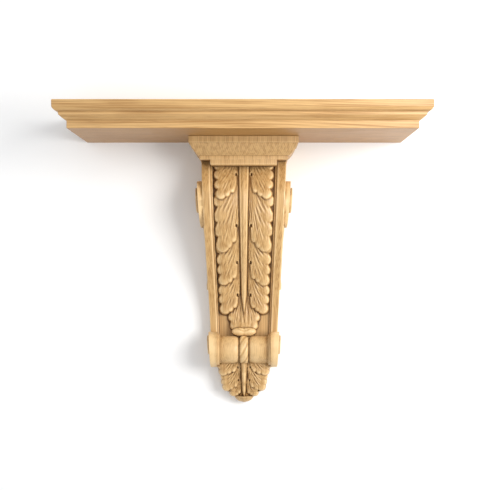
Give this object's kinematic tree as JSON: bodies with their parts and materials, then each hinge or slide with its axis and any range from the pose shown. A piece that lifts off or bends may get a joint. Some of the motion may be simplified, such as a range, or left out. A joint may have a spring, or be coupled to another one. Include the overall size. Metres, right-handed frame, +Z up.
{
  "type": "carved wall shelf",
  "caption": "Wall shelf with a moulded board on a tapering corbel carved with acanthus leaves, side volutes and a pendant leaf below a roll.",
  "frame": {"origin": "hanging point on the corbel's flat back, on its centre line, 55 mm below the board's underside", "axes": "+X along the wall, +Y into the wall, +Z up"},
  "size_m": [0.6, 0.22, 0.5039],
  "materials": {
    "oak_board": "satin oiled oak, grain along the board",
    "oak_corbel": "satin oiled oak, grain downwards, darker in the carving's hollows"
  },
  "bodies": {
    "root": {"shelf_board": "oak_board", "corbel": "oak_corbel"}
  },
  "joints": []
}
